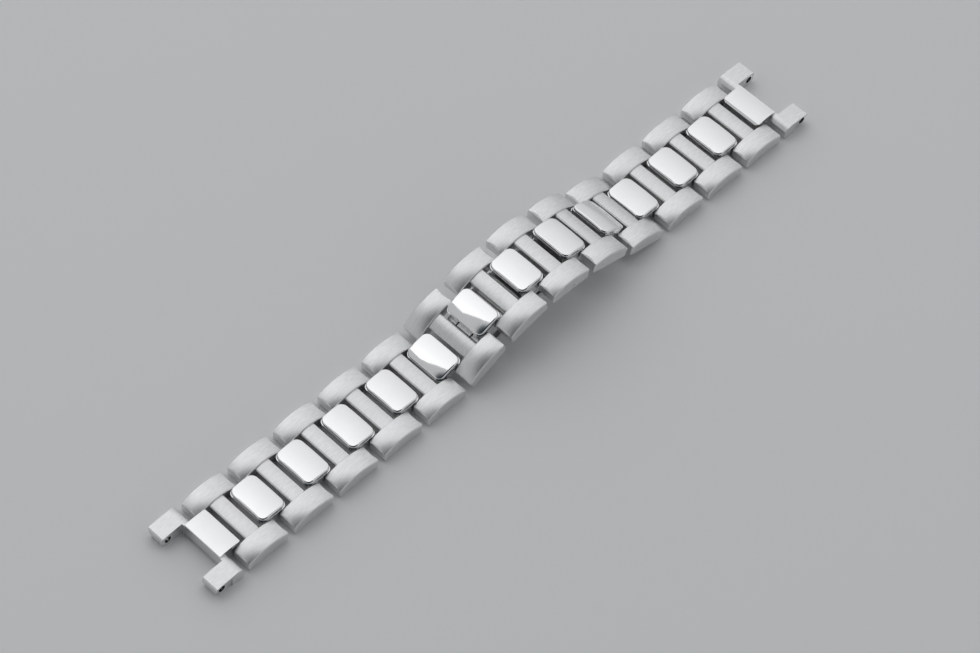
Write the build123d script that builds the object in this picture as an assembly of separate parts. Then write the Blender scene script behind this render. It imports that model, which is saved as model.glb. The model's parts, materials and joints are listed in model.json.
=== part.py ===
from build123d import *
import os
from math import asin, atan2, cos, degrees, radians, sin, sqrt

# Link watch bracelet, lying closed on a table. Millimetres, X along the
# bracelet, Y across it, Z up, the table at Z = 0 and the middle of the
# bracelet's box at X = 0.

# Rows and pitch of the links
ladder_count = 13
pitch = 11.25
bracelet_width = 18.0
hinge_reach = 3.6
pin_height = 1.4
last_flat_left = 5
first_flat_right = 11

# Side pieces of a ladder link
side_width = 4.25
side_length = 9.65
side_mid_height = 3.6
side_tip_height = 2.5
side_crown = 0.2
side_edge_bevel = 0.16
side_tip_bevel = 0.3
side_tip_drop = 0.16
side_corner_radius = 0.4
side_under_bevel = 0.6
worn_tip_run = 1.15
worn_tip_drop = 0.5

# Cross bar of a ladder link
bar_length = 3.45
bar_bottom_height = 0.9
bar_edge_height = 2.9
bar_mid_height = 3.1
bar_bevel = 0.22

# Polished centre link
centre_length = 6.1
centre_side_gap = 0.15
centre_bottom_height = 0.3
centre_foot_height = 2.6
centre_corner_radius = 1.2
centre_rim_bevel = 0.12
dome_inset = 0.05
dome_corner_radius = 1.35
dome_top_height = 3.68
dome_long_crown = 0.38
dome_cross_crown = 0.22
dome_edge_radius = 0.36
# Hollow core of a crowning drum, and how upright an edge is to count as one
drum_hub_share = 0.33
upright_share = 0.9

# Pins
pin_radius = 0.5
pin_clearance = 0.1
pin_end_wall = 0.35
lock_screw_radius = 0.55
lock_screw_length = 1.2
lock_screw_height = 1.3
# Place along the link of each lock screw that shows, by link number
lock_screw_reach = {5: -2.4, 8: 0.5, 11: 0.5}

# Pose of the links that lie over the clasp
arch_radius = 43.25
# The first raised link leans by this share of the turn between two links
arch_lean_share = 1.827
arch_first_pin_height = 2.5
arch_links = 4
latch_pin_spacing = 4.45
latch_pin_height = 3.62
latch_link_tilt = -17.0

# Clasp blades
blade_side_gap = 0.1
blade_thickness = 0.9
blade_tongue_step = 0.9
blade_tongue_length = 4.0
blade_link_gap = 0.2
blade_blade_gap = 1.18
blade_lug_radius = 0.8
blade_lug_half_width = 2.0
barrel_offset = 6.3
barrel_height = 3.0
barrel_radius = 1.25
barrel_end_setback = 0.4
barrel_mid_knuckle = 3.3
barrel_knuckle_gap = 0.35
barrel_running_gap = 0.25
barrel_neck_half = 0.9
tongue_low_angle = -40.0
tongue_high_angle = 115.0
inner_foot_setback = 2.1
inner_lug_radius = 0.78
inner_neck_half = 0.65
barrel_pin_radius = 0.5

# Release lever, the centre link over the catch
lever_lift = 4.14
lever_back = 1.15
lever_base_end = 4.85
lever_wall = 0.3
lever_cheek = 0.75
lever_roof_under = 1.35
lever_wall_bottom = -0.3
lever_cheek_bottom = -0.1
lever_ear_radius = 1.05
lever_lip_end = 5.73
lever_lip_top = 1.15
lever_lip_thickness = 0.68
lever_lip_setback = 0.35
lever_lip_corner = 0.9
lever_notch_gap = 0.2

# End pieces that join the watch case
plate_inner_reach = 2.6
plate_outer_reach = 7.9
plate_height = 3.25
plate_bottom_height = 0.3
plate_inner_bevel = 0.35
plate_crown = 0.2
plate_corner_radius = 0.8
arm_inner_reach = 6.15
arm_tip_reach = 12.75
arm_notch_step = 0.65
arm_height = 2.95
arm_shoulder_height = 2.2
arm_shoulder_run = 1.5
arm_knee_share = 0.75
arm_tip_bevel = 0.25
arm_tip_fall = 0.3
arm_pocket_length = 3.9
arm_pocket_depth = 0.35
arm_pocket_roof = 0.7
eye_height = 1.45
eye_bush_radius = 1.1
eye_bore_radius = 0.75
eye_bush_proud = 0.15
tip_round_radius = 1.45

overrun = 1.0


# Places worked out from the sizes above
half_width = bracelet_width / 2
opening_half = half_width - side_width
centre_half_width = opening_half - centre_side_gap
arm_inner_half = centre_half_width + arm_notch_step
lever_lip_half_width = centre_half_width - lever_lip_setback
blade_half_width = centre_half_width - blade_side_gap
blade_tongue_half_width = blade_half_width - blade_tongue_step
barrel_half = blade_half_width - barrel_end_setback
barrel_side_knuckle = barrel_half - barrel_knuckle_gap - barrel_mid_knuckle / 2
centre_spacing = pitch - 2 * hinge_reach
side_half_length = side_length / 2
bar_half_length = bar_length / 2
lock_screw_y = -(half_width - lock_screw_length / 2)
# The drum that crowns a dome is twice as wide as the dome, so it falls four
# times as far by its own ends
dome_drum_fall = 4 * dome_cross_crown


def polar(point, angle, distance):
    """The point at a distance and an angle in degrees, in the XZ plane."""
    return (point[0] + distance * cos(radians(angle)), point[1] + distance * sin(radians(angle)))


def middle(a, b):
    return ((a[0] + b[0]) / 2, (a[1] + b[1]) / 2)


def slope(a, b):
    return degrees(atan2(b[1] - a[1], b[0] - a[0]))


def chain_pins():
    """Left and right pin of each ladder link, as lists of (x, z), before centring."""
    left, right = {}, {}
    ladder_angle = degrees(2 * asin(hinge_reach / arch_radius))
    centre_angle = degrees(2 * asin(centre_spacing / 2 / arch_radius))
    first_angle = arch_lean_share * (ladder_angle + centre_angle) + ladder_angle / 2
    arc_z = arch_first_pin_height - arch_radius * cos(radians(first_angle))
    for step in range(arch_links):
        number = last_flat_left + 1 + step
        turn = first_angle - step * (ladder_angle + centre_angle)
        left[number] = (-arch_radius * sin(radians(turn)), arc_z + arch_radius * cos(radians(turn)))
        turn = turn - ladder_angle
        right[number] = (-arch_radius * sin(radians(turn)), arc_z + arch_radius * cos(radians(turn)))
    start = left[last_flat_left + 1]
    run = sqrt(centre_spacing**2 - (start[1] - pin_height) ** 2)
    x = start[0] - run
    for number in range(last_flat_left, 0, -1):
        right[number] = (x, pin_height)
        left[number] = (x - 2 * hinge_reach, pin_height)
        x = x - pitch
    caught = last_flat_left + arch_links + 1
    end = right[caught - 1]
    run = sqrt(latch_pin_spacing**2 - (end[1] - latch_pin_height) ** 2)
    left[caught] = (end[0] + run, latch_pin_height)
    right[caught] = polar(left[caught], latch_link_tilt, 2 * hinge_reach)
    run = sqrt(centre_spacing**2 - (right[caught][1] - pin_height) ** 2)
    x = right[caught][0] + run
    for number in range(first_flat_right, ladder_count + 1):
        left[number] = (x, pin_height)
        right[number] = (x + 2 * hinge_reach, pin_height)
        x = x + pitch
    return left, right, (0, arc_z)


left_pin, right_pin, arc_centre = chain_pins()
shift = -(left_pin[1][0] + right_pin[ladder_count][0]) / 2
left_pin = {n: (x + shift, z) for n, (x, z) in left_pin.items()}
right_pin = {n: (x + shift, z) for n, (x, z) in right_pin.items()}
arc_centre = (arc_centre[0] + shift, arc_centre[1])
hinged_end = last_flat_left + arch_links
catch_pin = left_pin[hinged_end + 1]
lever_pin = right_pin[hinged_end]
barrel_axis = (left_pin[last_flat_left + 1][0] + barrel_offset, barrel_height)
lever_tilt = slope(lever_pin, catch_pin) + lever_lift
blade_top_radius = arch_radius - (pin_height - centre_bottom_height) - blade_link_gap
inner_rise = arc_centre[1] + blade_top_radius - 2 * blade_thickness - blade_blade_gap


def place(shape, point, tilt):
    """Moves a shape from its own frame to a pin-line point, tilted nose up by tilt."""
    return Pos(point[0], 0, point[1]) * Rot(0, -tilt, 0) * shape


def prism(points, half, centre=0):
    """A closed XZ outline carried across the bracelet, centred on Y = centre."""
    face = make_face(Polyline(*[(x, z) for x, z in points], close=True))
    upright = Plane(origin=(0, centre, 0), x_dir=(1, 0, 0), z_dir=(0, -1, 0)) * face
    return extrude(upright, half, both=True)


def cross_rod(radius, half, point, centre=0):
    """A rod along Y at an XZ point."""
    return Pos(point[0], centre, point[1]) * Rot(90, 0, 0) * Cylinder(radius, 2 * half)


def pillow(half_length, half_width_here, top, long_sagitta, cross_sagitta, bevel):
    """A drum whose skin is the crowned top, bent along X and gently along Y."""
    radius = (half_length**2 + long_sagitta**2) / (2 * long_sagitta)
    axis_z = top - radius
    shoulder = top - cross_sagitta
    inner = axis_z + radius * drum_hub_share
    outline = [
        Line((-half_width_here, inner), (half_width_here, inner)),
        Line((half_width_here, inner), (half_width_here, shoulder - bevel)),
        Line((half_width_here, shoulder - bevel), (half_width_here - bevel, shoulder)),
        ThreePointArc((half_width_here - bevel, shoulder), (0, top), (bevel - half_width_here, shoulder)),
        Line((bevel - half_width_here, shoulder), (-half_width_here, shoulder - bevel)),
        Line((-half_width_here, shoulder - bevel), (-half_width_here, inner)),
    ]
    section = Plane.YZ * make_face(outline)
    return revolve(section, Axis((0, 0, axis_z), (0, 1, 0)))


def side_piece(worn_tip):
    """One brushed side piece, at Y = 0, in its ladder link's frame."""
    bottom = -pin_height
    tip = side_tip_height - pin_height
    top = side_mid_height - pin_height
    half = side_width / 2
    right_run, right_drop = (worn_tip_run, worn_tip_drop) if worn_tip else (side_tip_bevel, side_tip_drop)
    outline = [
        (side_under_bevel - side_half_length, bottom),
        (side_half_length - side_under_bevel, bottom),
        (side_half_length, bottom + side_under_bevel),
        (side_half_length, tip - right_drop),
        (side_half_length - right_run, tip + right_drop),
        (side_half_length - right_run, top + overrun),
        (side_tip_bevel - side_half_length, top + overrun),
        (side_tip_bevel - side_half_length, tip + side_tip_drop),
        (-side_half_length, tip - side_tip_drop),
        (-side_half_length, bottom + side_under_bevel),
    ]
    body = prism(outline, half)
    body = body & pillow(side_half_length, half, top, side_mid_height - side_tip_height, side_crown, side_edge_bevel)
    plan = Pos(0, 0, bottom) * extrude(RectangleRounded(side_length, side_width, side_corner_radius), top - bottom)
    body = body & plan
    for sign in (-1, 1):
        trough = Pos(0, sign * half, bottom) * Rot(45, 0, 0) * Box(side_length, side_under_bevel, side_under_bevel)
        body = body - trough
    return body


def ladder_sides(number):
    """Both side pieces, bored for their pins, in the link's frame."""
    worn_tip = number == hinged_end
    offset = opening_half + side_width / 2
    depth = side_width - pin_end_wall
    pieces = []
    for sign in (-1, 1):
        piece = Pos(0, sign * offset, 0) * side_piece(worn_tip)
        for reach in (-hinge_reach, hinge_reach):
            piece = piece - cross_rod(pin_radius, depth / 2, (reach, 0), sign * (opening_half + depth / 2))
        if number in lock_screw_reach and sign < 0:
            spot = (lock_screw_reach[number], lock_screw_height - pin_height)
            piece = piece - cross_rod(lock_screw_radius, lock_screw_length / 2, spot, lock_screw_y)
        pieces.append(piece)
    return Compound([solid for piece in pieces for solid in piece.solids()])


def ladder_bar():
    """The brushed cross bar, seated between the side pieces."""
    low = bar_bottom_height - pin_height
    edge = bar_edge_height - pin_height
    crown = bar_mid_height - pin_height
    x = bar_half_length
    outline = [
        Line((-x, low), (x, low)),
        Line((x, low), (x, edge - bar_bevel)),
        Line((x, edge - bar_bevel), (x - bar_bevel, edge)),
        ThreePointArc((x - bar_bevel, edge), (0, crown), (bar_bevel - x, edge)),
        Line((bar_bevel - x, edge), (-x, edge - bar_bevel)),
        Line((-x, edge - bar_bevel), (-x, low)),
    ]
    face = Plane(origin=(0, 0, 0), x_dir=(1, 0, 0), z_dir=(0, -1, 0)) * make_face(outline)
    return extrude(face, opening_half, both=True)


def ladder_pins(number):
    """Both hinge pins of a ladder link, and its lock screw where it shows."""
    half = half_width - pin_end_wall
    pins = [cross_rod(pin_radius, half, (reach, 0)) for reach in (-hinge_reach, hinge_reach)]
    if number in lock_screw_reach:
        spot = (lock_screw_reach[number], lock_screw_height - pin_height)
        screw = cross_rod(lock_screw_radius, lock_screw_length / 2, spot, lock_screw_y)
        pins.append(screw)
    return Compound([solid for pin in pins for solid in pin.solids()])


def dome(length, width, foot, top):
    """The crowned, round-edged pillow of a polished link, its foot at height foot."""
    slab = extrude(RectangleRounded(length, width, dome_corner_radius), top - foot + overrun)
    slab = Pos(0, 0, foot) * slab
    crown = pillow(length / 2, width, top, dome_long_crown, dome_drum_fall, side_edge_bevel)
    body = slab & crown
    rim = [edge for edge in body.edges() if edge.center().Z > foot + dome_edge_radius / 2]
    rim = [edge for edge in rim if abs(edge.tangent_at().Z) < upright_share]
    return fillet(rim, dome_edge_radius)


def centre_link():
    """A polished centre link with a bore for each of its two pins, in its own frame."""
    low = centre_bottom_height - pin_height
    foot = centre_foot_height - pin_height
    top = dome_top_height - pin_height
    width = 2 * centre_half_width
    base = extrude(RectangleRounded(centre_length, width, centre_corner_radius), foot - low)
    base = Pos(0, 0, low) * base
    base = chamfer(base.faces().sort_by(Axis.Z)[0].edges(), centre_rim_bevel)
    body = base + dome(centre_length - 2 * dome_inset, width - 2 * dome_inset, foot, top)
    for reach in (-centre_spacing / 2, centre_spacing / 2):
        body = body - cross_rod(pin_radius + pin_clearance, centre_half_width + overrun, (reach, 0))
    return body


def release_lever():
    """The lever link over the catch, in a frame with its hinge pin at the origin."""
    foot = centre_foot_height - pin_height
    top = dome_top_height - pin_height
    width = 2 * centre_half_width
    base_length = lever_back + lever_base_end
    base_middle = (lever_base_end - lever_back) / 2
    base = extrude(RectangleRounded(base_length, width, centre_corner_radius), foot - lever_cheek_bottom)
    base = Pos(base_middle, 0, lever_cheek_bottom) * base
    front = Box(lever_wall, 2 * (centre_half_width - centre_corner_radius), lever_cheek_bottom - lever_wall_bottom)
    base = base + Pos(lever_wall / 2 - lever_back, 0, (lever_cheek_bottom + lever_wall_bottom) / 2) * front
    cap = Pos(base_middle, 0, 0) * dome(base_length - 2 * dome_inset, width - 2 * dome_inset, foot, top)
    lip_length = lever_lip_end - base_middle
    lip_plan = RectangleRounded(2 * lip_length, 2 * lever_lip_half_width, lever_lip_corner)
    lip = Pos(base_middle, 0, lever_lip_top - lever_lip_thickness) * extrude(lip_plan, lever_lip_thickness)
    lip = lip - Pos(lever_base_end - lever_wall - lip_length, 0, 0) * Box(2 * lip_length, width, 2 * foot)
    cheeks = []
    for sign in (-1, 1):
        middle_y = sign * (centre_half_width - lever_cheek / 2)
        cheeks.append(cross_rod(lever_ear_radius, lever_cheek / 2, (0, 0), middle_y))
    hollow_length = lever_base_end + lever_back - 2 * lever_wall
    hollow_half = centre_half_width - lever_cheek
    hollow_depth = lever_roof_under - lever_wall_bottom + overrun
    hollow = Box(hollow_length, 2 * hollow_half, hollow_depth)
    hollow = Pos(base_middle, 0, lever_roof_under - hollow_depth / 2) * hollow
    exit_under = lever_lip_top - lever_lip_thickness
    exit_depth = exit_under - lever_wall_bottom + overrun
    back_cut = Box(2 * lever_wall + overrun, 2 * hollow_half, exit_depth)
    back_cut = Pos(lever_base_end, 0, exit_under - exit_depth / 2) * back_cut
    body = base + cap + cheeks[0] + cheeks[1] - hollow - back_cut + lip
    body = body - cross_rod(pin_radius + pin_clearance, centre_half_width + overrun, (0, 0))
    seat = catch_in_lever_frame()
    body = body - cross_rod(pin_radius + lever_notch_gap, centre_half_width + overrun, seat)
    under = Box(2 * overrun, 2 * width, 2 * overrun)
    body = body - Pos(seat[0] + overrun, 0, seat[1] - overrun) * under
    return body


def catch_in_lever_frame():
    """The catch pin's place seen from the lever's hinge pin."""
    dx = catch_pin[0] - lever_pin[0]
    dz = catch_pin[1] - lever_pin[1]
    turn = radians(-lever_tilt)
    return (dx * cos(turn) - dz * sin(turn), dx * sin(turn) + dz * cos(turn))


def arc_plate(centre, inner_radius, thickness, start_x, end_x, half):
    """A curved strip about an XZ centre, between two X places."""
    ring = cross_rod(inner_radius + thickness, half, centre) - cross_rod(inner_radius, half + overrun, centre)
    length = end_x - start_x
    tall = inner_radius + thickness
    window = Pos((start_x + end_x) / 2, 0, centre[1] + tall / 2) * Box(length, 2 * half + overrun, tall)
    return ring & window


def outer_blade():
    """The long curved blade that the links lie on, from its barrel to the lever pin."""
    plate_radius = blade_top_radius - blade_thickness
    start_x = barrel_axis[0] + barrel_radius / 2
    end_x = lever_pin[0]
    plate = arc_plate(arc_centre, plate_radius, blade_thickness, start_x, end_x, blade_half_width)
    narrow = blade_half_width - blade_tongue_half_width
    for sign in (-1, 1):
        trim = Box(2 * blade_tongue_length, narrow, arch_radius)
        plate = plate - Pos(end_x, sign * (blade_half_width - narrow / 2), lever_pin[1]) * trim
    keep_clear = barrel_radius + barrel_running_gap
    plate = plate - cross_rod(keep_clear, blade_half_width + overrun, barrel_axis)
    root_turn = asin((barrel_axis[0] + 2 * barrel_radius - arc_centre[0]) / (plate_radius + blade_thickness / 2))
    root = []
    for radius in (plate_radius, blade_top_radius):
        root.append((arc_centre[0] + radius * sin(root_turn), arc_centre[1] + radius * cos(root_turn)))
    tongue_points = [
        polar(barrel_axis, tongue_low_angle, barrel_radius),
        root[0],
        root[1],
        polar(barrel_axis, tongue_high_angle, barrel_radius),
        barrel_axis,
    ]
    tongue = prism(tongue_points, barrel_mid_knuckle / 2)
    knuckle = cross_rod(barrel_radius, barrel_mid_knuckle / 2, barrel_axis)
    foot = polar(lever_pin, 180 + slope(arc_centre, lever_pin), lever_drop())
    across = slope(arc_centre, lever_pin) - 90
    neck_points = [
        polar(lever_pin, across, blade_lug_radius),
        polar(foot, across, blade_lug_radius),
        polar(foot, across + 180, blade_lug_radius),
        polar(lever_pin, across + 180, blade_lug_radius),
    ]
    neck = prism(neck_points, blade_lug_half_width) & arc_window(end_x)
    lug = cross_rod(blade_lug_radius, blade_lug_half_width, lever_pin)
    body = plate + tongue + knuckle + neck + lug
    body = body - cross_rod(barrel_pin_radius + pin_clearance, barrel_mid_knuckle, barrel_axis)
    return body - cross_rod(pin_radius + pin_clearance, 2 * blade_lug_half_width, lever_pin)


def lever_drop():
    """From the lever pin down to the middle of the blade under it."""
    return (pin_height - centre_bottom_height) + blade_link_gap + blade_thickness / 2


def arc_window(end_x):
    """Everything left of the blade's end, to trim its neck flush."""
    span = end_x - barrel_axis[0] + blade_lug_radius
    return Pos(end_x + blade_lug_radius - span / 2, 0, lever_pin[1]) * Box(span, bracelet_width, arch_radius)


def inner_blade():
    """The blade that rests on the table, with the hinge lugs and the catch lug."""
    left_foot = barrel_axis[0] + inner_foot_setback
    right_foot = catch_pin[0] - inner_foot_setback
    half_chord = (right_foot - left_foot) / 2
    radius = (half_chord**2 + inner_rise**2) / (2 * inner_rise)
    centre = ((left_foot + right_foot) / 2, inner_rise - radius)
    plate = arc_plate(centre, radius, blade_thickness, left_foot - overrun, right_foot + overrun, blade_half_width)
    tall = radius + blade_thickness
    plate = plate & (Pos(centre[0], 0, tall / 2) * Box(2 * tall, bracelet_width, tall))
    body = plate
    pads = (
        (barrel_axis[0] - barrel_neck_half, left_foot + overrun),
        (right_foot - overrun, catch_pin[0] + inner_neck_half),
    )
    for start, stop in pads:
        pad = Box(stop - start, 2 * blade_half_width, blade_thickness)
        body = body + Pos((start + stop) / 2, 0, blade_thickness / 2) * pad
    knuckle_middle = barrel_mid_knuckle / 2 + barrel_knuckle_gap + barrel_side_knuckle / 2
    neck_half = barrel_side_knuckle / 2
    for sign in (-1, 1):
        middle_y = sign * knuckle_middle
        neck = Box(2 * barrel_neck_half, barrel_side_knuckle, barrel_axis[1])
        body = body + Pos(barrel_axis[0], middle_y, barrel_axis[1] / 2) * neck
        body = body + cross_rod(barrel_radius, neck_half, barrel_axis, middle_y)
    neck = Box(2 * inner_neck_half, 2 * blade_lug_half_width, catch_pin[1])
    body = body + Pos(catch_pin[0], 0, catch_pin[1] / 2) * neck
    body = body + cross_rod(inner_lug_radius, blade_lug_half_width, catch_pin)
    body = body - cross_rod(barrel_pin_radius, blade_half_width + overrun, barrel_axis)
    return body - cross_rod(pin_radius + pin_clearance, 2 * blade_lug_half_width, catch_pin)


def barrel_pin():
    """The clasp's hinge pin, flush with the outer knuckles."""
    return cross_rod(barrel_pin_radius, barrel_half, barrel_axis)


def end_arms():
    """Two brushed arms of the end piece, reaching along +X from the last ladder link's middle."""
    low = -pin_height
    top = arm_height - pin_height
    shoulder = arm_shoulder_height - pin_height
    eye = eye_point()
    bend = arm_inner_reach + arm_shoulder_run
    knee = ((arm_inner_reach + bend) / 2, shoulder + arm_knee_share * (top - shoulder))
    crown_end = (arm_tip_reach - arm_tip_bevel, top - arm_tip_fall)
    crown = middle((bend, top - arm_tip_fall / 4), (crown_end[0], top - arm_tip_fall / 4))
    tip_start = (arm_tip_reach, crown_end[1] - arm_tip_bevel)
    outline = [
        Line((arm_inner_reach + side_under_bevel, low), (arm_inner_reach, low + side_under_bevel)),
        Line((arm_inner_reach, low + side_under_bevel), (arm_inner_reach, shoulder)),
        ThreePointArc((arm_inner_reach, shoulder), knee, (bend, top)),
        ThreePointArc((bend, top), crown, crown_end),
        Line(crown_end, tip_start),
        Line(tip_start, (arm_tip_reach, eye[1])),
        ThreePointArc((arm_tip_reach, eye[1]), polar(eye, -45, tip_round_radius), (eye[0], low)),
        Line((eye[0], low), (arm_inner_reach + side_under_bevel, low)),
    ]
    upright = Plane(origin=(0, 0, 0), x_dir=(1, 0, 0), z_dir=(0, -1, 0))
    profile = extrude(upright * make_face(outline), half_width, both=True)
    notch_length = arm_tip_reach - plate_outer_reach + overrun
    notch = Box(notch_length, 2 * arm_inner_half, 2 * arm_height)
    profile = profile - Pos(plate_outer_reach + notch_length / 2, 0, 0) * notch
    waist = Box(2 * plate_outer_reach, 2 * centre_half_width, 2 * arm_height)
    profile = profile - Pos(plate_outer_reach, 0, 0) * waist
    pocket_tall = arm_height - arm_pocket_roof + overrun
    for sign in (-1, 1):
        pocket = Box(arm_pocket_length + overrun, 2 * arm_pocket_depth, pocket_tall)
        pocket_x = arm_tip_reach - (arm_pocket_length - overrun) / 2
        pocket_z = low - overrun + pocket_tall / 2
        profile = profile - Pos(pocket_x, sign * half_width, pocket_z) * pocket
    profile = profile - cross_rod(eye_bush_radius, half_width + overrun, eye)
    return Compound(profile.solids())


def eye_point():
    """The case bar's bore, in the end link's frame."""
    return (arm_tip_reach - tip_round_radius, eye_height - pin_height)


def end_bushes():
    """A bright bush in each arm, bored for the case bar."""
    eye = eye_point()
    outer = half_width - arm_pocket_depth + eye_bush_proud
    length = outer - arm_inner_half
    bushes = []
    for sign in (-1, 1):
        bush = cross_rod(eye_bush_radius, length / 2, eye, sign * (arm_inner_half + length / 2))
        bushes.append(bush - cross_rod(eye_bore_radius, half_width + overrun, eye))
    return Compound([solid for bush in bushes for solid in bush.solids()])


def end_plate():
    """The polished plate between the arms, hinged in the last ladder link."""
    low = plate_bottom_height - pin_height
    top = plate_height - pin_height
    inner = plate_inner_reach
    outer = plate_outer_reach
    crown = ((inner + outer) / 2, top + plate_crown)
    outline = [
        Line((outer, low), (inner + plate_inner_bevel, low)),
        Line((inner + plate_inner_bevel, low), (inner, low + plate_inner_bevel)),
        Line((inner, low + plate_inner_bevel), (inner, top - plate_inner_bevel)),
        Line((inner, top - plate_inner_bevel), (inner + plate_inner_bevel, top)),
        ThreePointArc((inner + plate_inner_bevel, top), crown, (outer - centre_rim_bevel, top)),
        Line((outer - centre_rim_bevel, top), (outer, top - centre_rim_bevel)),
        Line((outer, top - centre_rim_bevel), (outer, low)),
    ]
    face = Plane(origin=(0, 0, 0), x_dir=(1, 0, 0), z_dir=(0, -1, 0)) * make_face(outline)
    body = extrude(face, centre_half_width, both=True)
    span = outer - inner + plate_corner_radius
    plan = RectangleRounded(span, 2 * centre_half_width, plate_corner_radius)
    body = body & Pos(inner + span / 2, 0, low) * extrude(plan, plate_height)
    return body - cross_rod(pin_radius + pin_clearance, centre_half_width + overrun, (hinge_reach, 0))


def write(shape, name):
    shape.label = name
    export_step(shape, "parts/" + name + ".step")


os.makedirs("parts", exist_ok=True)

bar = ladder_bar()
polished = centre_link()
for number in range(1, ladder_count + 1):
    spot = middle(left_pin[number], right_pin[number])
    tilt = slope(left_pin[number], right_pin[number])
    tag = f"{number:02d}"
    write(place(ladder_sides(number), spot, tilt), "side_links_" + tag)
    write(place(bar, spot, tilt), "cross_bar_" + tag)
    write(place(ladder_pins(number), spot, tilt), "link_pins_" + tag)
    print("ladder link", tag, "middle", round(spot[0], 3), round(spot[1], 3), "tilt", round(tilt, 3))
    print("  pins", [round(v, 4) for v in (*left_pin[number], *right_pin[number])])

for number in range(1, ladder_count):
    if number == hinged_end:
        continue
    spot = middle(right_pin[number], left_pin[number + 1])
    tilt = slope(right_pin[number], left_pin[number + 1])
    write(place(polished, spot, tilt), f"centre_link_{number:02d}")
    print("centre link", number, "tilt", round(tilt, 3))

write(place(release_lever(), lever_pin, lever_tilt), "release_lever")
write(outer_blade(), "clasp_blade_outer")
write(inner_blade(), "clasp_blade_inner")
write(barrel_pin(), "clasp_hinge_pin")

last_spot = middle(left_pin[ladder_count], right_pin[ladder_count])
first_spot = middle(left_pin[1], right_pin[1])
flip = Rot(0, 0, 180)
for shape, name in ((end_arms(), "end_lugs"), (end_plate(), "end_plate"), (end_bushes(), "lug_bushes")):
    write(place(shape, last_spot, 0), name + "_b")
    write(place(flip * shape, first_spot, 0), name + "_a")

print("lever pin", lever_pin, "catch pin", catch_pin, "barrel", barrel_axis, "arc centre", arc_centre)
print("case bores at x", first_spot[0] - eye_point()[0], last_spot[0] + eye_point()[0], "z", eye_height)
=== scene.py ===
# %% [markdown]
# A steel link bracelet for a wristwatch, lying closed on a table. Every
# piece is hard metal whose shape comes from the CAD model, so this lesson is
# about finishes and light: steel has hardly any colour of its own, and what
# makes it look brushed or polished is its grain and what it mirrors. No mesh
# is made here but the table, because the CAD pieces already have the shapes.

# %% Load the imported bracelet
import json
import math
import bpy
from mathutils import Matrix, Vector

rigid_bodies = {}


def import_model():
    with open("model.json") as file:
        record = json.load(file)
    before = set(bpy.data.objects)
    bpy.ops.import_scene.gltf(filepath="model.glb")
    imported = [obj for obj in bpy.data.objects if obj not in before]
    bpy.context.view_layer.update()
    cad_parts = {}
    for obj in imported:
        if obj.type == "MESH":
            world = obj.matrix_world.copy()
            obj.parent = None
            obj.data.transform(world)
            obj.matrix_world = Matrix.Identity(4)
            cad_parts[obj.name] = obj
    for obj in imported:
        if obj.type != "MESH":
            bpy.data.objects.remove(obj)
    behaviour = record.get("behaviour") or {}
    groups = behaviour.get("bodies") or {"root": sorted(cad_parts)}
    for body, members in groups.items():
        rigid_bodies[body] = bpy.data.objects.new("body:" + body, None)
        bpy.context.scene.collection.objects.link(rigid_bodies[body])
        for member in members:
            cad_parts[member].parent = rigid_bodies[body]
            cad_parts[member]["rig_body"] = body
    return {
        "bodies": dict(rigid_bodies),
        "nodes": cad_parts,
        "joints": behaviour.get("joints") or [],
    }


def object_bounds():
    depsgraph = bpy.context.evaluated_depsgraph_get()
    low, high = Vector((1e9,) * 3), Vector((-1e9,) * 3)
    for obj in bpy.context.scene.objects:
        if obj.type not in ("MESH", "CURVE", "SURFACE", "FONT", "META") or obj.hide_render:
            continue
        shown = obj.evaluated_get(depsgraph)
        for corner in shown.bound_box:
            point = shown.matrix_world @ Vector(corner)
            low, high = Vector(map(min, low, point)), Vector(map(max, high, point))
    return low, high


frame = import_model()
nodes = frame["nodes"]
cad_box = [list(corner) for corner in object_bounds()]
mm = 0.001
print("nodes", len(nodes), "box in mm", [[round(v / mm, 2) for v in corner] for corner in cad_box])

# %% [markdown]
# A finish is a node graph. It could be clicked together in the shader
# editor or written out node by node, but then its maths is hard to read.
# Here a term stands for one output of a node, and adding, subtracting or
# multiplying terms adds the Math nodes, so a formula looks like a formula.

# %% A shader value that can be used in a formula
class Term:
    """One output of a node, which can be added, subtracted and multiplied."""

    def __init__(self, graph, socket):
        self.graph = graph
        self.socket = socket

    def output(self, name):
        """Another output of the same node."""
        return Term(self.graph, self.socket.node.outputs[name])

    def maths(self, operation, *values):
        return self.graph.node("ShaderNodeMath", {"operation": operation}, dict(enumerate(values)))

    def __add__(self, other):
        return self.maths("ADD", self, other)

    __radd__ = __add__

    def __sub__(self, other):
        return self.maths("SUBTRACT", self, other)

    def __rsub__(self, other):
        return self.maths("SUBTRACT", other, self)

    def __mul__(self, other):
        return self.maths("MULTIPLY", self, other)

    __rmul__ = __mul__

    def __abs__(self):
        return self.maths("ABSOLUTE", self)

    def at_least(self, floor):
        return self.maths("MAXIMUM", self, floor)

    def step(self, low, high):
        """0 below low, 1 above high, and a smooth climb between them."""
        settings = {"interpolation_type": "SMOOTHSTEP"}
        inputs = {"Value": self, "From Min": low, "From Max": high}
        return self.graph.node("ShaderNodeMapRange", settings, inputs)


print("terms take + - * abs, at_least and step")

# %% [markdown]
# Materials, lamps and the world each own a node tree. One class serves all
# three, and its one method makes any node from its type, its settings and
# its inputs. An input is a plain value or a term, and a term is linked.
# Colours go through a Mix node, because a Math node would turn them grey.

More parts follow.
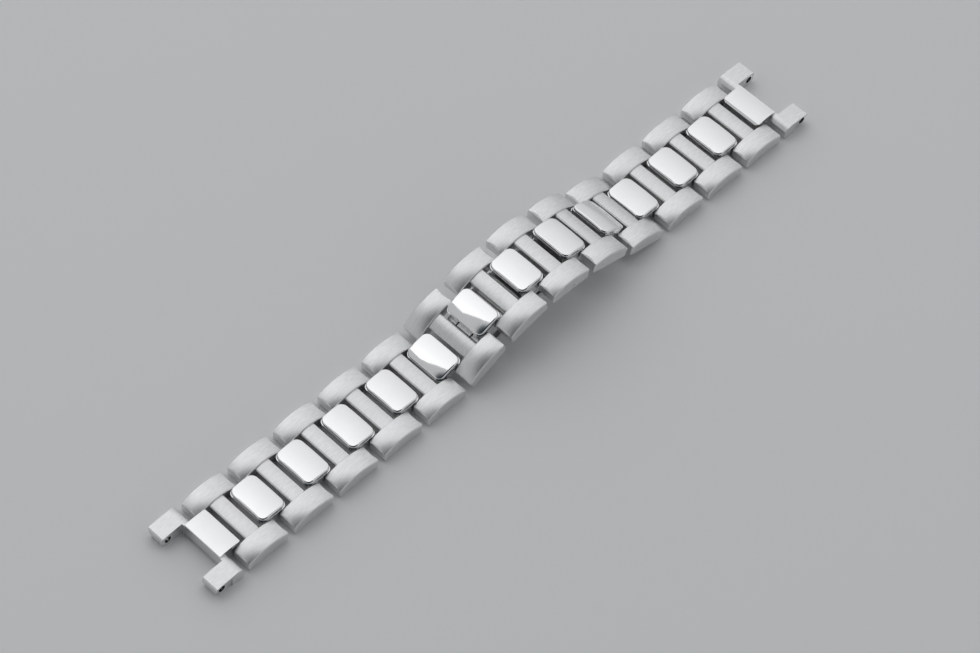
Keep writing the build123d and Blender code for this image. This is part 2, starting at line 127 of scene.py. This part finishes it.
# %% A node tree
class Graph:
    """A node tree, and the one method that adds any node to it."""

    def __init__(self, owner):
        owner.use_nodes = True
        self.tree = owner.node_tree

    def node(self, kind, settings, inputs):
        made = self.tree.nodes.new(kind)
        for name, value in settings.items():
            setattr(made, name, value)
        for name, value in inputs.items():
            self.feed(made.inputs[name], value)
        return Term(self, made.outputs[0])

    def feed(self, socket, value):
        if isinstance(value, Term):
            self.tree.links.new(value.socket, socket)
        else:
            socket.default_value = value

    def blend(self, share, first, second):
        """A colour between two, by a share from 0 to 1."""
        mix = self.node("ShaderNodeMix", {"data_type": "RGBA"}, {0: share, 6: first, 7: second})
        return Term(self, mix.socket.node.outputs[2])


print("one node method for materials, lamps and the world")

# %% [markdown]
# Every finish on the bracelet is one Principled surface. Metal takes its
# look from the base colour, the roughness and a very small bump, so those
# are what a finish feeds. A displaced mesh could carry the scratches too,
# but they are only about a hundredth of a millimetre deep, and a bump shows
# them as well at a fraction of the size.

# %% A finish
class Finish(Graph):
    """One material, whose surface inputs are fed by name."""

    def __init__(self, name):
        self.material = bpy.data.materials.new(name)
        super().__init__(self.material)
        self.surface = self.tree.nodes["Principled BSDF"]

    def surface_inputs(self, **inputs):
        for name, value in inputs.items():
            self.feed(self.surface.inputs[name.replace("_", " ")], value)

    def bump(self, height, distance):
        inputs = {"Height": height, "Distance": distance, "Strength": 1.0}
        return self.node("ShaderNodeBump", {}, inputs)


def grey(level, warmth=0.0):
    """A steel grey, a little warm or cool."""
    return (level * (1 + warmth), level, level * (1 - warmth), 1.0)


print("a warm steel grey", [round(v, 2) for v in grey(0.80, 0.02)])

# %% [markdown]
# Scratches run along each link, and the links over the clasp are tilted. An
# unwrapped mesh could carry the direction, but the pieces have no unwrap.
# Each piece keeps its rest place as its own coordinates, so turning those
# back by the link's tilt gives a level frame in which X runs along the link.

# %% Where a point lies on its link
side_from = 0.5
side_whole = 0.8


def along_link(finish, tilt):
    """X, Y and Z of a point in its link's own level frame."""
    at = finish.node("ShaderNodeTexCoord", {}, {}).output("Object")
    inputs = {"Vector": at, "Angle": math.radians(tilt)}
    level = finish.node("ShaderNodeVectorRotate", {"rotation_type": "Y_AXIS"}, inputs)
    split = finish.node("ShaderNodeSeparateXYZ", {}, {0: level})
    return split.output("X"), split.output("Y"), split.output("Z")


def side_facing(finish):
    """1 on faces that look along the table across the bracelet, 0 on top faces."""
    normal = finish.node("ShaderNodeNewGeometry", {}, {}).output("Normal")
    across = finish.node("ShaderNodeSeparateXYZ", {}, {0: normal}).output("Y")
    return abs(across).step(side_from, side_whole)


print("a face is a side face where its normal's Y is above", side_from)

# %% [markdown]
# A brush leaves streaks, and handling leaves soft clouds. Both are noise: a
# streak is noise drawn out along the link, and a cloud is the same noise at
# one size in all directions. A Wave texture could make streaks as well, but
# its lines are too even. On top faces the streaks are spaced across the
# bracelet and on side faces up and down, so the face's direction chooses.

# %% Streaks and clouds
streak_length = 1.3 * mm


def streaks(finish, tilt, width, seed):
    """Noise drawn out along the link, in streaks of one width."""
    x, y, z = along_link(finish, tilt)
    side = side_facing(finish)
    spaced = (y * (1 - side) + z * side) * (1 / width)
    point = finish.node("ShaderNodeCombineXYZ", {}, {0: x * (1 / streak_length), 1: spaced, 2: seed})
    return finish.node("ShaderNodeTexNoise", {}, {"Vector": point, "Scale": 1.0, "Detail": 2.0})


def clouds(finish, tilt, size, seed):
    """Slow cloudy change, as handling and hand finishing leave it."""
    x, y, z = along_link(finish, tilt)
    scale = 1 / size
    point = finish.node("ShaderNodeCombineXYZ", {}, {0: x * scale + seed, 1: y * scale, 2: z * scale})
    return finish.node("ShaderNodeTexNoise", {}, {"Vector": point, "Scale": 1.0, "Detail": 1.0})


print("streaks are", round(streak_length / mm, 2), "mm long")

# %% [markdown]
# The side pieces, bars, arms and blades of the real bracelet are brushed. An
# anisotropic surface would stretch the highlights, but it shows no single
# scratch. Two widths of streak are added up here, and where the sum is low
# the steel is a little darker and smoother. The clouds vary only the gloss.

# %% The brushed finish
streak_width = 0.18 * mm
scratch_width = 0.07 * mm
scratch_seed = 7.3
streak_share = 0.45
valley_below = 0.3
ridge_above = 0.7
valley_shade = 0.09
ridge_shine = 0.07
grain_rough = 0.12
cloud_size = 6 * mm
cloud_rough = 0.10
noise_middle = 0.5


def brushed(name, tilt, seed, level, rough, depth):
    finish = Finish(name)
    coarse = streaks(finish, tilt, streak_width, seed)
    fine = streaks(finish, tilt, scratch_width, seed + scratch_seed)
    cloud = clouds(finish, tilt, cloud_size, seed)
    grain = coarse * streak_share + fine * (1 - streak_share)
    shade = grain.step(valley_below, ridge_above)
    finish.surface_inputs(
        Metallic=1.0,
        Base_Color=finish.blend(shade, grey(level - valley_shade), grey(level + ridge_shine)),
        Roughness=rough + (grain - noise_middle) * grain_rough + (cloud - noise_middle) * cloud_rough,
        Normal=finish.bump(grain, depth),
    )
    return finish.material


print("brushed in streaks of", round(streak_width / mm, 2), "and", round(scratch_width / mm, 2), "mm")

# %% [markdown]
# The centre links and end plates are polished. Polished steel is a mirror
# with the faintest wear: short hairlines that only show where a lamp glances
# off them, and a slightly uneven polish. A scratched bump would break the
# mirror up, so both go mostly into the roughness and the mirror stays clean.

# %% The polished finish
haze_size = 3 * mm
haze_depth = 0.004 * mm
haze_rough = 0.05
haze_shade = 0.03
haze_shine = 0.01
hairline_width = 0.3 * mm
hairline_seed = 2.1
hairline_from = 0.62
hairline_whole = 0.8
hairline_rough = 0.05


def polished(name, tilt, seed, level, rough):
    finish = Finish(name)
    haze = clouds(finish, tilt, haze_size, seed)
    hairline = streaks(finish, tilt, hairline_width, seed + hairline_seed)
    worn = hairline.step(hairline_from, hairline_whole)
    finish.surface_inputs(
        Metallic=1.0,
        Base_Color=finish.blend(haze, grey(level - haze_shade), grey(level + haze_shine)),
        Roughness=rough + haze * haze_rough + worn * hairline_rough,
        Normal=finish.bump(haze, haze_depth),
    )
    return finish.material


print("polished with hairlines", round(hairline_width / mm, 2), "mm wide")

# %% [markdown]
# Each link lies at its own angle. The angles could be typed in, but the CAD
# model already knows them: the joints give the pins at both ends of a link,
# and the slope from one pin to the other is the link's tilt. The clasp's
# blades and the end pieces count as level. The release lever hangs between
# its own pin and the catch, with its nose lifted as in the CAD model.

# %% The tilt of each link
lever_lift = 4.14


def slope(first, second):
    """Degrees by which the line from one pin to another climbs."""
    run = second - first
    return math.degrees(math.atan2(run.z, run.x))


pins_of_body = {body: [] for body in frame["bodies"]}
for joint in frame["joints"]:
    pins_of_body[joint["parent"]].append(Vector(joint["pos_m"]))
    pins_of_body[joint["child"]].append(Vector(joint["pos_m"]))

tilts = {}
for body, pins in pins_of_body.items():
    pins.sort(key=lambda pin: pin.x)
    level = body.startswith(("clasp", "end")) or len(pins) < 2
    tilts[body] = 0.0 if level else slope(pins[0], pins[-1])
lever_pin = pins_of_body["release_lever"][0]
catch_pin = pins_of_body["link_10"][0]
tilts["release_lever"] = slope(lever_pin, catch_pin) + lever_lift
print("tilts", {body: round(tilt, 1) for body, tilt in tilts.items() if abs(tilt) > 0.1})

# %% [markdown]
# A few settings make all the steels: how pale it is, how rough and, where it
# is brushed, how deep. The bars are brushed harder than the side pieces, and
# the pins are turned and duller than the links. One material could serve all
# pieces of a kind, but each gets its own seed, so that no two links carry
# the same scratches.

# %% Give every piece its finish
brush_depth = 0.008 * mm
bar_brush_depth = 0.014 * mm
seed_step = 3.7
recipes = {
    "side_links": (brushed, {"level": 0.80, "rough": 0.37, "depth": brush_depth}),
    "end_lugs": (brushed, {"level": 0.80, "rough": 0.37, "depth": brush_depth}),
    "cross_bar": (brushed, {"level": 0.78, "rough": 0.38, "depth": bar_brush_depth}),
    "clasp_blade": (brushed, {"level": 0.78, "rough": 0.30, "depth": brush_depth}),
    "centre_link": (polished, {"level": 0.90, "rough": 0.05}),
    "release_lever": (polished, {"level": 0.88, "rough": 0.07}),
    "end_plate": (polished, {"level": 0.88, "rough": 0.09}),
    "lug_bushes": (polished, {"level": 0.90, "rough": 0.06}),
    "link_pins": (polished, {"level": 0.78, "rough": 0.16}),
    "clasp_hinge_pin": (polished, {"level": 0.80, "rough": 0.14}),
}
for place, (name, piece) in enumerate(sorted(nodes.items())):
    finish_maker, settings = next(recipe for kind, recipe in recipes.items() if name.startswith(kind))
    tilt = tilts[piece["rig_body"]]
    material = finish_maker(name + "_steel", tilt, seed_step * place, **settings)
    piece.data.materials.clear()
    piece.data.materials.append(material)
print("finished", len(nodes), "pieces")

# %% [markdown]
# The bracelet lies on a plain pale sheet. It could curl up behind as a
# studio backdrop does, but the camera looks down steeply and sees no wall,
# so a flat sheet fills the view, and the metal's lower edges mirror it.

# %% The table
table_width = 4.0
paper_grey = grey(0.86)
paper_rough = 0.6

bpy.ops.mesh.primitive_plane_add(size=table_width, location=(0, 0, cad_box[0][2]))
table = bpy.context.object
table.name = "table"
paper = Finish("pale_paper")
paper.surface_inputs(Base_Color=paper_grey, Roughness=paper_rough)
table.data.materials.append(paper.material)
print("table", table_width, "m wide, top at", round(table.location.z / mm, 2), "mm")

# %% [markdown]
# The camera stands where the photographer's stood. It could be placed by
# eye, but matching the corners of the links gives it closely: a turn round
# the bracelet, a rise above the table, a slight lean, a distance, and a
# small slide that brings the bracelet to its place in the frame.

# %% The camera
camera_turn = math.radians(-50.02)
camera_rise = math.radians(54.58)
camera_lean = math.radians(5.54)
camera_distance = 638.77 * mm
slide_right = -0.64 * mm
slide_up = -1.53 * mm
focal_pixels = 3397.5
picture_width = 980
sensor = 36.0
nearest_seen = 10 * mm

right = Vector((math.cos(camera_turn), math.sin(camera_turn), 0))
back = Vector((math.sin(camera_turn) * math.cos(camera_rise),
               -math.cos(camera_turn) * math.cos(camera_rise),
               math.sin(camera_rise)))
up = back.cross(right)
lean_right = math.cos(camera_lean) * right + math.sin(camera_lean) * up
lean_up = math.cos(camera_lean) * up - math.sin(camera_lean) * right
eye = lean_right * slide_right + lean_up * slide_up + back * camera_distance
camera = bpy.data.objects.new("camera", bpy.data.cameras.new("camera"))
bpy.context.scene.collection.objects.link(camera)
camera.data.sensor_width = sensor
camera.data.lens = focal_pixels * sensor / picture_width
camera.data.clip_start = nearest_seen
axes = Matrix((lean_right, lean_up, back)).transposed().to_4x4()
camera.matrix_world = Matrix.Translation(eye) @ axes
bpy.context.scene.camera = camera
print("camera at", [round(v, 3) for v in eye], "lens", round(camera.data.lens, 1))

# %% [markdown]
# Metal shows its lamps. A small lamp would leave hard spots, so one broad
# soft lamp stands where the tops of the links mirror the camera's view, and
# they shine evenly. It ends short of the camera's own side, so links that
# lean that way turn grey. Its glow falls from left to right, because the
# photographed links are a little brighter at the bracelet's left end. A
# mirror shows the lamp and the room behind it added together, so both are
# kept low enough that the two don't clip to white.

# %% The lamp
lamp_shift = Vector((0.04, 0.12, -0.07))
lamp_distance = 0.9
lamp_width = 1.6
lamp_height = 1.52
lamp_power = 3.2
middle_glow = 1.32
glow_fall = 0.95

mirror_way = Vector((-back.x, -back.y, back.z))
lamp = bpy.data.lights.new("broad_lamp", "AREA")
lamp.shape = "RECTANGLE"
lamp.size = lamp_width
lamp.size_y = lamp_height
lamp.energy = lamp_power
broad_lamp = bpy.data.objects.new("broad_lamp", lamp)
bpy.context.scene.collection.objects.link(broad_lamp)
broad_lamp.location = (mirror_way + lamp_shift).normalized() * lamp_distance
broad_lamp.rotation_mode = "QUATERNION"
broad_lamp.rotation_quaternion = broad_lamp.location.to_track_quat("Z", "Y")

panel = Graph(lamp)
spot = panel.node("ShaderNodeNewGeometry", {}, {}).output("Position")
along = panel.node("ShaderNodeSeparateXYZ", {}, {0: spot}).output("X")
glow = (middle_glow - glow_fall * along).at_least(0.0)
panel.feed(panel.tree.nodes["Emission"].inputs["Strength"], glow)
print("lamp at", [round(v, 2) for v in broad_lamp.location], "power", lamp_power)

# %% [markdown]
# The world is a quiet grey room. A picture of a studio could be wrapped
# round the scene, but steel needs only two things to mirror: pale walls, and
# the dark place where the photographer stood. The mirrors' near corners fall
# off to that dark place, which is what makes them read as polished metal.

# %% The room
wall_grey = grey(0.50, -0.02)
dark_grey = grey(0.03, -0.25)
dark_edge = 38
dark_core = 34


def nearness(graph, direction, outer, inner):
    """1 within the inner angle of a direction, 0 beyond the outer angle, in degrees."""
    way = graph.node("ShaderNodeTexCoord", {}, {}).output("Generated")
    inputs = {0: way, 1: tuple(direction)}
    facing = graph.node("ShaderNodeVectorMath", {"operation": "DOT_PRODUCT"}, inputs).output("Value")
    return facing.step(math.cos(math.radians(outer)), math.cos(math.radians(inner)))


world = bpy.data.worlds.new("room")
room = Graph(world)
walls = room.blend(nearness(room, back, dark_edge, dark_core), wall_grey, dark_grey)
room.feed(room.tree.nodes["Background"].inputs["Color"], walls)
bpy.context.scene.world = world
bpy.context.scene.view_settings.view_transform = "Standard"
print("room with a dark place", 2 * dark_edge, "degrees wide")
